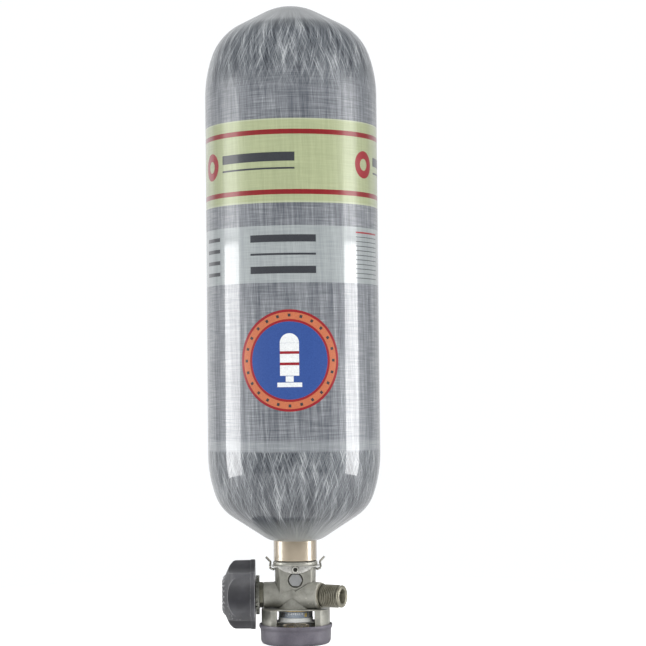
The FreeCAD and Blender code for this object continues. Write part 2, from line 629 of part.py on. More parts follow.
def gauge_parts():
    """Bourdon gauge read from below on a dial and through the windows on a turning drum."""
    drum_z, carrier_z, dial_z = (24.4, 30.0), (20.6, 24.1), (10.4, 11.0)
    stem_top, groove_z = GAUGE_PORT_TOP - 0.2, (33.3, 35.5)
    deck_z = carrier_z[1] - 1.2
    inner_r = LENS_R - LENS_WALL
    case = rod(17.0, CASE_FACE_Z, GUARD_TOP_Z - GUARD_PLATE_T).fuse(
        rod(GAUGE_PORT_R - 0.05, CASE_FACE_Z, stem_top)
    )
    case = case.cut(rod(1.0, 33.0, stem_top + 1)).cut(tube(7, 4.7, *groove_z))
    case = case.cut(rod(0.85, CASE_FACE_Z - 1, CASE_FACE_Z + 1))
    lens = rod(LENS_R, LENS_FACE_Z, CASE_FACE_Z).cut(
        rod(inner_r, LENS_FACE_Z + 1.5, CASE_FACE_Z + 1)
    )
    drum = tube(inner_r - 0.4, inner_r - 1.4, *drum_z)
    drum = drum.fuse(tube(inner_r - 1, 0.75, drum_z[1] - 0.8, drum_z[1]))
    carrier = tube(inner_r - 0.05, 0.95, deck_z, carrier_z[1]).fuse(
        tube(inner_r - 0.05, inner_r - 1.6, carrier_z[0], carrier_z[1])
    )
    dial = tube(inner_r - 0.05, 0.95, *dial_z)
    needle = tube(2.0, 0.75, 9.2, 9.8).fuse(needle_blade(9.2, 9.8)).cut(rod(0.75, 9, 10))
    bourdon = Part.makeTorus(11.0, 1.3, Vector(0, 0, 15.4), UP, 0, 360, 270)
    frame = tube(4.0, 0.95, dial_z[1], deck_z).fuse(block((3.0, 9.0), (-2.5, 2.5), (14, 18)))
    frame = frame.cut(rod(0.95, 5, 30))
    return {
        "gauge_case": case.removeSplitter(),
        "gauge_o_ring": o_ring(5.35, 0.65, sum(groove_z) / 2),
        "gauge_lens": lens,
        "scale_drum": drum.removeSplitter(),
        "dial_carrier": carrier.removeSplitter(),
        "gauge_dial": dial,
        "gauge_needle": needle.removeSplitter(),
        "gauge_arbor": rod(0.75, 8.9, CASE_FACE_Z + 0.9),
        "bourdon_tube": bourdon,
        "gauge_movement": frame.removeSplitter(),
    }


def needle_blade(low, high):
    """Tapered pointer and its short tail, at the empty end of the scale."""
    corners = [(-0.35, 12.6), (0.35, 12.6), (0.9, 0), (0.9, -4.2), (-0.9, -4.2), (-0.9, 0)]
    points = [Vector(x, y, low) for x, y in corners]
    blade = Part.Face(Part.makePolygon(points + points[:1])).extrude(Vector(0, 0, high - low))
    blade.rotate(ORIGIN, UP, 135)
    return blade


# ---- write the parts ----------------------------------------------------------------
def main():
    os.makedirs("parts", exist_ok=True)
    parts = {"valve_body": valve_body(), "spring_clip": spring_clip()}
    for made in (vessel_parts(), inlet_parts(), hanger_parts(), guard_parts(), gauge_parts()):
        parts.update(made)
    knob_axis = {"knob_spring": knob_spring()}
    for made in (bonnet_parts(), spindle_parts(), plug_parts(), knob_parts()):
        knob_axis.update(made)
    parts.update({name: placed(shape, KNOB_FRAME) for name, shape in knob_axis.items()})
    parts.update({n: placed(s, OUTLET_FRAME) for n, s in outlet_parts().items()})
    parts.update({n: placed(s, RELIEF_FRAME) for n, s in relief_parts().items()})
    for name, shape in sorted(parts.items()):
        shape.exportStep(os.path.join("parts", name + ".step"))
        solids = len(shape.Solids)
        print(f"{name}: {solids} solid, valid {shape.isValid()}, {shape.Volume / 1000:.2f} cm3")


main()
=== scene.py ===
"""Looks for the breathing-air cylinder: finished pieces, procedural materials, light and camera."""

import json
import math

import bmesh
import bpy
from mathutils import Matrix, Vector


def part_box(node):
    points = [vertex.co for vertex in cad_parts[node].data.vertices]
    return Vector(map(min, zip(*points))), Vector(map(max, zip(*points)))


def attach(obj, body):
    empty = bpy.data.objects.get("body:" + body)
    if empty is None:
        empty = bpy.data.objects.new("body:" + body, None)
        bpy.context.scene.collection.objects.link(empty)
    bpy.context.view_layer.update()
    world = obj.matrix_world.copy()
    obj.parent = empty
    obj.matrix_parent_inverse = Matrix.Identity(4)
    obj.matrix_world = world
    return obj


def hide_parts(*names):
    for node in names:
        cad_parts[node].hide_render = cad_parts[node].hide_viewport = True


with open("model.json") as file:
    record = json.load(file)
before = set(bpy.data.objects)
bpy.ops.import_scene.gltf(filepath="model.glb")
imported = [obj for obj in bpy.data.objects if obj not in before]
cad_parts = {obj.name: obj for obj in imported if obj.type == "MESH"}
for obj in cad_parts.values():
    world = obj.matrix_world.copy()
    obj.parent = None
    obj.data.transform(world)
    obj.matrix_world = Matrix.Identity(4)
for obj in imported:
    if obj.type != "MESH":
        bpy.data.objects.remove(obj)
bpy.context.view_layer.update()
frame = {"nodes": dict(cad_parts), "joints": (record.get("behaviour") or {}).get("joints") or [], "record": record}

MM = 0.001

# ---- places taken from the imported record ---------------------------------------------
MOUNTS = {mount["name"]: mount for mount in frame["record"]["mounts"]}
JOINTS = {joint["name"]: joint for joint in frame["joints"]}
TANK_R = MOUNTS["band_seat"]["dims"]["r_mm"] * MM
AXIS_Z = JOINTS["knob_turn"]["pos_m"][2]
OUTLET_WAY = Vector(MOUNTS["outlet_thread"]["axis"]).normalized()
BAND_LOW, BAND_HIGH = [corner.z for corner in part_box("luminous_band")]
RATING_LOW, RATING_HIGH = [corner.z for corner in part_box("rating_label")]
DECAL_LOW, DECAL_HIGH = [corner.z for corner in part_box("round_decal")]
DECAL_Z = (DECAL_LOW + DECAL_HIGH) / 2
DECAL_R = (DECAL_HIGH - DECAL_LOW) / 2
DECAL_TURN = math.radians(-2.4)    # how far round from the front the decal sits
DRUM_LOW, DRUM_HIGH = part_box("scale_drum")
KNOB_OUTER = -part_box("knob_grip")[0].x
DIAL_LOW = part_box("gauge_dial")[0].z

PRINT_LIFT = 0.06 * MM      # prints stand this far off their film
PRINT_DEPTH = 0.05 * MM     # and reach this far into it


HOOPS_LOW, HOOPS_HIGH = 0.178, 0.512    # where the hoop winding starts and ends
PALE_RING_HIGH = 0.1875                 # top of the paler ring that the last hoops make
STRIPE_LOW, STRIPE_HIGH = 408.2 * MM, 461.9 * MM    # middles of the band's two red stripes
STRIPE_WIDE = 4.3 * MM
BAND_MARKS_Z = 438.5 * MM


# ---- node materials ------------------------------------------------------------------
def map_range(tree, value, low, high, to_low=0.0, to_high=1.0):
    """A value's span from low to high, stretched to run from to_low to to_high."""
    node = tree.nodes.new("ShaderNodeMapRange")
    tree.links.new(value, node.inputs["Value"])
    ends = zip(("From Min", "From Max", "To Min", "To Max"), (low, high, to_low, to_high))
    for socket, end in ends:
        node.inputs[socket].default_value = end
    return node.outputs[0]


class Paint:
    """A node material while it is being made, with short names for the usual nodes."""

    def __init__(self, name, colour, roughness, metallic=0.0):
        self.material = bpy.data.materials.new(name)
        self.material.use_nodes = True
        self.tree = self.material.node_tree
        self.shader = self.tree.nodes["Principled BSDF"]
        self.place = self.add("ShaderNodeTexCoord").outputs["Object"]
        self.fix("Base Color", (*colour, 1.0))
        self.fix("Roughness", roughness)
        self.fix("Metallic", metallic)

    def add(self, kind, **settings):
        node = self.tree.nodes.new(kind)
        for key, value in settings.items():
            setattr(node, key, value)
        return node

    def fix(self, socket, value):
        self.shader.inputs[socket].default_value = value
        return self

    def link(self, output, socket):
        self.tree.links.new(output, socket)

    def feed(self, socket, output):
        self.link(output, self.shader.inputs[socket])
        return self

    def coat(self, weight, roughness=0.03):
        return self.fix("Coat Weight", weight).fix("Coat Roughness", roughness)

    def math(self, operation, first, second):
        node = self.add("ShaderNodeMath", operation=operation)
        for socket, value in zip(node.inputs, (first, second)):
            if isinstance(value, (int, float)):
                socket.default_value = value
            else:
                self.link(value, socket)
        return node.outputs[0]

    def vector(self, operation, first, second):
        node = self.add("ShaderNodeVectorMath", operation=operation)
        self.link(first, node.inputs[0])
        if isinstance(second, tuple):
            node.inputs[1].default_value = second
        elif isinstance(second, (int, float)):
            node.inputs["Scale"].default_value = second
        else:
            self.link(second, node.inputs[1])
        return node.outputs[0]

    def weigh(self, *parts):
        """The sum of values, each given with its share as (value, share)."""
        scaled = [self.math("MULTIPLY", value, share) for value, share in parts]
        total = scaled[0]
        for part in scaled[1:]:
            total = self.math("ADD", total, part)
        return total

    def along(self, axis):
        """The object's own coordinate along one axis, in metres."""
        split = self.add("ShaderNodeSeparateXYZ")
        self.link(self.place, split.inputs[0])
        return split.outputs[axis]

    def height(self):
        return self.along("Z")

    def edges(self, low=0.47, high=0.56):
        """0 in the crevices of a piece and 1 on its sharp outer edges."""
        return self.span(self.add("ShaderNodeNewGeometry").outputs["Pointiness"], low, high)

    def noise(self, scale, detail=3.0, at=None, stretch=(1, 1, 1)):
        """Noise of features about 1 / scale metres long, drawn out by the stretch."""
        texture = self.add("ShaderNodeTexNoise")
        texture.inputs["Scale"].default_value = scale
        texture.inputs["Detail"].default_value = detail
        self.link(self.vector("MULTIPLY", at or self.place, stretch), texture.inputs["Vector"])
        return texture.outputs["Fac"]

    def ramp(self, factor, stops, kind="LINEAR"):
        node = self.add("ShaderNodeValToRGB")
        ramp = node.color_ramp
        ramp.interpolation = kind
        while len(ramp.elements) < len(stops):
            ramp.elements.new(0.5)
        for element, (position, colour) in zip(ramp.elements, stops):
            element.position = position
            element.color = (*colour, 1.0)
        self.link(factor, node.inputs[0])
        return node.outputs[0]

    def span(self, value, low, high, to_low=0.0, to_high=1.0):
        return map_range(self.tree, value, low, high, to_low, to_high)

    def mix(self, factor, first, second, blend="MIX"):
        node = self.add("ShaderNodeMix", data_type="RGBA", blend_type=blend)
        if isinstance(factor, (int, float)):
            node.inputs[0].default_value = factor
        else:
            self.link(factor, node.inputs[0])
        for socket, value in zip((node.inputs[6], node.inputs[7]), (first, second)):
            if isinstance(value, tuple):
                socket.default_value = (*value, 1.0)
            else:
                self.link(value, socket)
        return node.outputs[2]

    def bump(self, factor, depth, strength=1.0):
        node = self.add("ShaderNodeBump")
        node.inputs["Strength"].default_value = strength
        node.inputs["Distance"].default_value = depth
        self.link(factor, node.inputs["Height"])
        return self.feed("Normal", node.outputs[0])


def strands(paint, twist, around, along):
    """Noise drawn out along helices that turn by twist radians a metre, with no seam."""
    height = paint.height()
    turn = paint.add("ShaderNodeVectorRotate", rotation_type="Z_AXIS")
    paint.link(paint.place, turn.inputs["Vector"])
    paint.link(paint.math("MULTIPLY", height, twist), turn.inputs["Angle"])
    flat = paint.vector("MULTIPLY", turn.outputs[0], (1, 1, 0))
    ring = paint.vector("SCALE", paint.vector("NORMALIZE", flat, (0, 0, 0)), around)
    lift = paint.add("ShaderNodeCombineXYZ")
    paint.link(paint.math("MULTIPLY", height, along), lift.inputs["Z"])
    return paint.noise(1.0, 4.0, at=paint.vector("ADD", ring, lift.outputs[0]))


def step_between(paint, low, high, soft_low, soft_high):
    """1 between two heights and 0 outside, with soft ends."""
    rise = paint.span(paint.height(), low - soft_low, low + soft_low)
    fall = paint.span(paint.height(), high - soft_high, high + soft_high, 1.0, 0.0)
    return paint.math("MULTIPLY", rise, fall)


def crossed(paint, twist, around, along):
    """The same strands wound both ways, with the paler of the two on top."""
    ways = [strands(paint, turn, around, along) for turn in (twist, -twist)]
    return paint.math("MAXIMUM", *ways)


def helical_strands(paint):
    """Crossing steep strands, the upper ones pale, with dark gaps between clumps."""
    broad = crossed(paint, 4.2, 62, 46)
    fine = crossed(paint, 5.6, 150, 70)
    clumps = strands(paint, 1.2, 13, 20)
    return paint.weigh((broad, 0.46), (fine, 0.26), (clumps, 0.28))


def hoop_strands(paint):
    """Fine level hoops over almost upright strands, like a loose weave."""
    hoops = paint.noise(46, 3.0, stretch=(1, 1, 22))
    upright = crossed(paint, 1.0, 96, 34)
    clumps = strands(paint, 0.4, 26, 11)
    return paint.weigh((hoops, 0.30), (upright, 0.36), (clumps, 0.34))


def wrap_material():
    """Helical strands on both domes, and hoops over them along the barrel."""
    paint = Paint("wound_wrap", (0.18, 0.19, 0.205), 0.42)
    steep = helical_strands(paint)
    domes = paint.ramp(steep, [
        (0.45, (0.026, 0.030, 0.040)), (0.52, (0.115, 0.127, 0.142)),
        (0.575, (0.230, 0.245, 0.260)), (0.67, (0.62, 0.64, 0.65)),
    ])
    level = hoop_strands(paint)
    barrel = paint.ramp(level, [
        (0.40, (0.080, 0.088, 0.106)), (0.49, (0.158, 0.170, 0.190)),
        (0.56, (0.235, 0.248, 0.268)), (0.68, (0.42, 0.44, 0.46)),
    ])
    on_barrel = step_between(paint, HOOPS_LOW, HOOPS_HIGH, 1.2 * MM, 16 * MM)
    colour = paint.mix(on_barrel, domes, barrel)
    # the last hoops by the lower dome are a paler ring, and the resin pools pale at both ends
    last_hoops = step_between(paint, HOOPS_LOW, PALE_RING_HIGH, 1.2 * MM, 2 * MM)
    ring = paint.math("MULTIPLY", last_hoops, 0.34)
    colour = paint.mix(ring, colour, (0.42, 0.45, 0.46))
    low_end = paint.span(paint.height(), 0.098, 0.116, 0.85, 0.0)
    colour = paint.mix(low_end, colour, (0.37, 0.385, 0.38))
    high_end = paint.span(paint.height(), 0.556, 0.580, 0.0, 0.88)
    colour = paint.mix(high_end, colour, (0.185, 0.198, 0.202))
    paint.feed("Base Color", colour)
    paint.bump(paint.mix(on_barrel, steep, level), 0.12 * MM, 0.30)
    # the clear coat is thinner over the upper dome, where the strands roughen it
    paint.feed("Coat Roughness", paint.span(paint.height(), 0.33, 0.42, 0.03, 0.24))
    return paint.fix("Coat Weight", 1.0).material


def film_over_fibre(name, tint, strength, shade):
    """A film that lets a little of the winding under it show through."""
    paint = Paint(name, tint, 0.30)
    under = paint.ramp(hoop_strands(paint), [(0.44, shade), (0.62, tint)])
    paint.feed("Base Color", paint.mix(strength, tint, under))
    return paint.coat(1.0, 0.05).material


def luminous_material():
    """Pale green film with two red stripes and a paler cut edge, mottled by the winding."""
    paint = Paint("luminous_print", (0.54, 0.60, 0.36), 0.30)
    edge = 1.2 * MM

    def stop(height):
        return (height - BAND_LOW) / (BAND_HIGH - BAND_LOW)

    film, pale, red = (0.45, 0.495, 0.290), (0.52, 0.56, 0.38), (0.27, 0.011, 0.015)
    stops = [(0.0, pale), (stop(BAND_LOW + edge), film)]
    for centre in (STRIPE_LOW, STRIPE_HIGH):
        stops.append((stop(centre - STRIPE_WIDE / 2), red))
        stops.append((stop(centre + STRIPE_WIDE / 2), film))
    stops.append((stop(BAND_HIGH - edge), pale))
    place = paint.span(paint.height(), BAND_LOW, BAND_HIGH)
    colour = paint.ramp(place, stops, "CONSTANT")
    dull, clean = (0.78, 0.79, 0.78), (1.0, 1.0, 1.0)
    mottle = paint.ramp(hoop_strands(paint), [(0.44, dull), (0.62, clean)])
    paint.feed("Base Color", paint.mix(0.8, colour, mottle, "MULTIPLY"))
    return paint.coat(0.9, 0.16).material


def metal(name, dark, light, roughness, metallic, grain, depth, coat=0.0, edge_wear_and_shade=0.0):
    """Cast or turned metal: cloudy colour, speckled roughness, surface grain, edges lightened by rubbing, and
    painted shade darkening the crevices.
    """
    paint = Paint(name, light, roughness, metallic)
    cloud = paint.noise(grain * 0.12, 4.0)
    speck = paint.noise(grain, 5.0)
    blend = paint.weigh((cloud, 0.65), (speck, 0.35))
    colour = paint.ramp(blend, [(0.36, dark), (0.64, light)])
    if edge_wear_and_shade:
        # painted shade: crevices darkened to half; sharp edges lightened as rubbing would, by the given amount
        stops = ((0.0, 0.50), (0.35, 1.0), (1.0, 1.0 + edge_wear_and_shade))
        shade = paint.ramp(paint.edges(), [(at, (grey,) * 3) for at, grey in stops])
        colour = paint.mix(1.0, colour, shade, "MULTIPLY")
    paint.feed("Base Color", colour)
    paint.feed("Roughness", paint.span(speck, 0.3, 0.7, roughness * 0.82, roughness * 1.2))
    if depth:
        paint.bump(speck, depth, 0.5)
    if coat:
        paint.coat(coat, 0.06)
    return paint.material


def screw_material():
    """Bright screw steel, with painted shade darkening it almost to black down in the head's socket."""
    paint = Paint("screw_steel", (0.80, 0.79, 0.72), 0.28, 0.3)
    # painted shade: deeper than the socket's floor the steel turns almost black
    floor = paint.span(paint.along("Y"), -14.9 * MM, -14.4 * MM)
    dull, bright = (0.66, 0.65, 0.58), (0.86, 0.85, 0.79)
    steel = paint.ramp(paint.noise(700, 4.0), [(0.35, dull), (0.65, bright)])
    paint.feed("Base Color", paint.mix(floor, steel, (0.035, 0.033, 0.026)))
    return paint.material


def moulded(name, dark, light, roughness, grain=1500, depth=0.05 * MM):
    """Rubber or plastic with a fine moulded grain and a little rubbing from handling."""
    paint = Paint(name, light, roughness)
    fine = paint.noise(grain, 4.0)
    rub = paint.noise(60, 4.0)
    both = paint.weigh((fine, 0.4), (rub, 0.6))
    paint.feed("Base Color", paint.ramp(both, [(0.38, dark), (0.66, light)]))
    paint.feed("Roughness", paint.span(rub, 0.3, 0.7, roughness * 1.15, roughness * 0.85))
    paint.bump(fine, depth, 0.6)
    return paint.material


def printed(name, colour, roughness=0.34):
    """Flat printing ink, slightly uneven, under the same clear resin as the films."""
    paint = Paint(name, colour, roughness)
    lighter = tuple(min(1.0, part * 1.18 + 0.004) for part in colour)
    paint.feed("Base Color", paint.ramp(paint.noise(900, 3.0), [(0.35, colour), (0.7, lighter)]))
    return paint.coat(0.8, 0.12).material


def knob_material():
    """Grey rubber, with a painted highlight on its sharp edges, painted shade in the finger hollows and near-black
    painted shade in the creases.
    """
    paint = Paint("knob_rubber", (0.08, 0.08, 0.086), 0.42)
    rub = paint.noise(60, 4.0)
    colour = paint.ramp(rub, [(0.36, (0.066, 0.066, 0.071)), (0.66, (0.110, 0.110, 0.118))])
    # painted shade: nearer the axis, in the finger hollows, the rubber is darkened to under half
    across = paint.vector("MULTIPLY", paint.place, (0, 1, 1))
    reach = paint.vector("SUBTRACT", across, (0, 0, AXIS_Z))
    length = paint.add("ShaderNodeVectorMath", operation="LENGTH")
    paint.link(reach, length.inputs[0])
    hollow_shade_mask = paint.span(length.outputs["Value"], 24.5 * MM, 29.5 * MM)
    colour = paint.mix(hollow_shade_mask, paint.mix(1.0, colour, (0.46, 0.46, 0.49), "MULTIPLY"), colour)
    # painted highlight: the sharp edges are lightened to pale grey
    edge_highlight = paint.edges(0.512, 0.548)
    colour = paint.mix(edge_highlight, colour, (0.26, 0.26, 0.27))
    # painted shade: the creases are darkened almost to black
    crevice_shade = paint.edges(0.490, 0.455)
    colour = paint.mix(crevice_shade, colour, (0.012, 0.012, 0.013))
    paint.feed("Base Color", colour)
    paint.bump(paint.noise(1500, 4.0), 0.04 * MM, 0.5)
    return paint.material


def clear_material():
    """Clear plastic, thin enough to let the light straight through."""
    paint = Paint("clear_window", (0.92, 0.94, 0.93), 0.05)
    paint.feed("Alpha", paint.span(paint.noise(70, 2.0), 0.3, 0.7, 0.03, 0.10))
    return paint.coat(1.0, 0.02).material


INK = printed("ink_charcoal", (0.035, 0.038, 0.045))
INK_SOFT = printed("ink_soft", (0.085, 0.09, 0.10))
INK_RED = printed("ink_red", (0.29, 0.010, 0.018))
INK_TAN = printed("ink_tan", (0.52, 0.155, 0.070))
INK_BLUE = printed("ink_blue", (0.028, 0.075, 0.28))
INK_WHITE = printed("ink_white", (0.78, 0.80, 0.80))
INK_YELLOW = printed("ink_yellow", (0.60, 0.42, 0.06))

VALVE_ALLOY = metal(
    "valve_alloy", (0.275, 0.272, 0.238), (0.425, 0.418, 0.372), 0.42, 0.5, 1300, 0.05 * MM,
    edge_wear_and_shade=0.45,
)
OUTLET_METAL = metal(
    "outlet_dark", (0.165, 0.155, 0.118), (0.335, 0.320, 0.258), 0.38, 0.75, 1400, 0.03 * MM,
    edge_wear_and_shade=0.5,
)
KNOB_RUBBER = knob_material()
BUMPER_RUBBER = moulded("bumper_rubber", (0.085, 0.078, 0.098), (0.155, 0.145, 0.172), 0.46)
NODE_MATERIALS = {
    "glass_wrap": wrap_material(),
    "carbon_wrap": moulded("wound_carbon", (0.02, 0.02, 0.022), (0.06, 0.06, 0.065), 0.4),
    "liner": metal(
        "sealed_liner", (0.46, 0.385, 0.285), (0.54, 0.46, 0.35), 0.34, 0.25, 90, 0.0, coat=1.0
    ),
    "luminous_band": luminous_material(),
    "rating_label": film_over_fibre(
        "rating_film", (0.42, 0.455, 0.455), 0.6, (0.24, 0.262, 0.28)
    ),
    "round_decal": INK_TAN,
    "hanger_bracket": metal(
        "bright_sheet", (0.50, 0.49, 0.45), (0.80, 0.79, 0.75), 0.30, 0.3, 420, 0.01 * MM
    ),
    "spring_clip": metal(
        "bright_wire", (0.40, 0.39, 0.35), (0.66, 0.65, 0.59), 0.24, 1.0, 700, 0.01 * MM
    ),
    "bracket_screw": screw_material(),
    "snap_ring": metal(
        "ring_steel", (0.30, 0.30, 0.28), (0.5, 0.5, 0.47), 0.3, 1.0, 800, 0.01 * MM
    ),
    "ratchet_ring": metal(
        "ratchet_steel", (0.16, 0.16, 0.14), (0.34, 0.34, 0.30), 0.42, 0.9, 900, 0.03 * MM
    ),
    "bonnet_nut": metal(
        "bonnet_metal", (0.16, 0.155, 0.12), (0.30, 0.29, 0.23), 0.4, 0.9, 900, 0.02 * MM
    ),
    "relief_plug": metal(
        "relief_steel", (0.33, 0.335, 0.34), (0.42, 0.425, 0.425), 0.44, 0.6, 900, 0.02 * MM
    ),
    "knob_cap": moulded("cap_plastic", (0.06, 0.06, 0.065), (0.14, 0.14, 0.15), 0.5),
    "knob_hub": moulded("hub_plastic", (0.04, 0.04, 0.045), (0.09, 0.09, 0.1), 0.5),
    "gauge_lens": clear_material(),
    "dial_carrier": moulded("carrier_white", (0.82, 0.83, 0.80), (0.92, 0.92, 0.90), 0.35),
    "gauge_dial": moulded("dial_white", (0.70, 0.70, 0.68), (0.82, 0.82, 0.80), 0.45),
    "scale_drum": moulded("drum_blue", (0.17, 0.215, 0.28), (0.26, 0.31, 0.37), 0.4),
    "gauge_needle": moulded("needle_red", (0.42, 0.02, 0.015), (0.55, 0.035, 0.03), 0.35),
}
STEEL = metal("turned_steel", (0.40, 0.40, 0.38), (0.60, 0.60, 0.57), 0.28, 1.0, 800, 0.01 * MM)
BRASS = metal("turned_brass", (0.50, 0.36, 0.15), (0.72, 0.55, 0.27), 0.28, 1.0, 700, 0.01 * MM)
NITRILE = moulded("nitrile", (0.012, 0.012, 0.012), (0.035, 0.035, 0.035), 0.55)
NYLON = moulded("nylon", (0.60, 0.57, 0.50), (0.74, 0.71, 0.65), 0.45)
for shared, nodes in (
    (STEEL, ("spindle", "knob_nut", "knob_washer", "knob_spring", "debris_tube")),
    (BRASS, (
        "gauge_case", "bourdon_tube", "gauge_movement", "gauge_arbor", "burst_disc", "valve_plug",
    )),
    (NITRILE, ("neck_o_ring", "spindle_o_ring", "gauge_o_ring")),
    (NYLON, ("soft_seat", "thrust_washer", "outlet_seal_ring", "relief_gasket")),
):
    for node_name in nodes:
        NODE_MATERIALS[node_name] = shared


# ---- mesh making ---------------------------------------------------------------------
def new_piece(name, points, faces, material, body):
    """A smooth-shaded piece with sharp edges kept, riding on a body."""
    mesh = bpy.data.meshes.new(name)
    mesh.from_pydata([tuple(point) for point in points], [], faces)
    mesh.validate()
    tidy = bmesh.new()
    tidy.from_mesh(mesh)
    bmesh.ops.recalc_face_normals(tidy, faces=tidy.faces)
    tidy.to_mesh(mesh)
    tidy.free()
    for polygon in mesh.polygons:
        polygon.use_smooth = True
    mesh.set_sharp_from_angle(angle=math.radians(40))
    mesh.materials.append(material)
    piece = bpy.data.objects.new(name, mesh)
    bpy.context.scene.collection.objects.link(piece)
    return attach(piece, body)


def softened(node, name, material, body, slot, voxel, passes):
    """The node's own shape with its sharp edges rounded, as a casting or a moulding has them."""
    mesh = frame["nodes"][node].data.copy()
    joined = bmesh.new()
    joined.from_mesh(mesh)
    bmesh.ops.remove_doubles(joined, verts=joined.verts, dist=0.001 * MM)
    joined.to_mesh(mesh)
    joined.free()
    rough = bpy.data.objects.new(name + "_rough", mesh)
    bpy.context.scene.collection.objects.link(rough)
    remesh = rough.modifiers.new("even", "REMESH")
    remesh.mode = "VOXEL"
    remesh.voxel_size = voxel
    smooth = rough.modifiers.new("round", "SMOOTH")
    smooth.factor = 0.5
    smooth.iterations = passes
    seen = rough.evaluated_get(bpy.context.evaluated_depsgraph_get())
    made = bpy.data.meshes.new_from_object(seen)
    bpy.data.objects.remove(rough)
    made.name = name
    made.materials.clear()
    made.materials.append(material)
    for polygon in made.polygons:
        polygon.use_smooth = True
    piece = bpy.data.objects.new(name, made)
    bpy.context.scene.collection.objects.link(piece)
    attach(piece, body)
    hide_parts(node)
    return piece


def closed_sheet(flat, faces, lay):
    """Points and faces of a thin closed sheet; lay(u, v, lift) puts a flat point in place."""
    count = len(flat)
    points = [lay(u, v, lift) for lift in (PRINT_LIFT, -PRINT_DEPTH) for u, v in flat]
    edges = [edge for face in faces for edge in zip(face, face[1:] + face[:1])]
    known = set(edges)
    walls = [(b, a, a + count, b + count) for a, b in edges if (b, a) not in known]
    back = [tuple(index + count for index in reversed(face)) for face in faces]
    return points, [tuple(face) for face in faces] + back + walls


def flat_bar(centre, size, step=1.2 * MM):
    """Grid of a plain bar."""
    columns = max(2, math.ceil(size[0] / step))
    left, low = centre[0] - size[0] / 2, centre[1] - size[1] / 2
    flat = []
    for column in range(columns + 1):
        across = left + size[0] * column / columns
        flat += [(across, low), (across, low + size[1])]
    faces = [[2 * c, 2 * c + 2, 2 * c + 3, 2 * c + 1] for c in range(columns)]
    return flat, faces


def flat_ring(centre, inner, outer, spokes=72, start=0.0, sweep=2 * math.pi):
    """Grid of a ring, a disc if inner is 0, or an arc of a ring."""
    whole = sweep >= 2 * math.pi - 1e-6
    rings = max(2, math.ceil((outer - inner) / (2.5 * MM)) + 1)
    lowest = max(inner, 0.02 * MM)
    columns = spokes if whole else spokes + 1
    flat = []
    for column in range(columns):
        angle = start + sweep * column / spokes
        for ring in range(rings):
            radius = lowest + (outer - lowest) * ring / (rings - 1)
            across = centre[0] + radius * math.cos(angle)
            flat.append((across, centre[1] + radius * math.sin(angle)))
    faces = []
    for column in range(spokes):
        after = (column + 1) % columns
        for ring in range(rings - 1):
            a, b = column * rings + ring, after * rings + ring
            faces.append([a, a + 1, b + 1, b])
    if inner == 0:
        faces.append([column * rings for column in reversed(range(columns))])
    return flat, faces


def gather(shapes):
    """Several flat shapes as one list of points and faces."""
    flat, faces = [], []
    for more, parts in shapes:
        start = len(flat)
        flat += more
        faces += [[index + start for index in face] for face in parts]
    return flat, faces


def rolled_print(name, shapes, ink, radius, angle, height, body="root", layer=0):
    """Prints laid on a cylinder about Z; angle 0 faces the front, and grows towards +X."""

    def lay(across, up, lift):
        turn = angle + across / radius
        far = radius + lift + layer * PRINT_LIFT
        return (far * math.sin(turn), -far * math.cos(turn), height + up)

    points, faces = closed_sheet(*gather(shapes), lay)
    return new_piece(name, points, faces, ink, body)


# ---- prints on the vessel ------------------------------------------------------------
def plain_bars(rows):
    """Plain bars one above another, each given as (length, height, up) in millimetres."""
    return [flat_bar((0, up * MM), (length * MM, height * MM)) for length, height, up in rows]


def band_marks():
    """Three plain repeats round the luminous band: a ring, one long bar and one thin line."""
    bars = plain_bars([(74, 8, 1.4), (74, 1.6, -9)])
    ring = [flat_ring((-56 * MM, -3 * MM), 5.4 * MM, 12.4 * MM, 48)]
    for repeat in range(3):
        angle = math.radians(-24.7 + 120 * repeat)
        for name, shapes, ink in (("band_bars", bars, INK), ("band_ring", ring, INK_RED)):
            rolled_print(
                f"{name}_{repeat}", shapes, ink, TANK_R, angle, BAND_MARKS_Z
            )


def rating_marks():
    """Plain bars where a rating plate would have its lines, twice round the vessel."""
    middle = (RATING_LOW + RATING_HIGH) / 2
    lines = plain_bars([(60, 6.4, 14), (60, 1.8, 0), (60, 6.4, -14)])
    side = plain_bars([(26, 3.4, 15.5 - 10.4 * row) for row in range(4)])
    notice = plain_bars([(38, 0.8, 20.5 - 4.1 * row) for row in range(1, 11)])
    heads = plain_bars([(38, 1.4, 20.5)])
    for repeat in range(2):
        for name, shapes, ink, degrees in (
            ("rating_lines", lines, INK, -6.3), ("rating_side", side, INK, -64.3),
            ("notice_lines", notice, INK_SOFT, 59.7), ("notice_heads", heads, INK_RED, 59.7),
        ):
            angle = math.radians(degrees + 180 * repeat)
            rolled_print(
                f"{name}_{repeat}", shapes, ink, TANK_R, angle, middle
            )


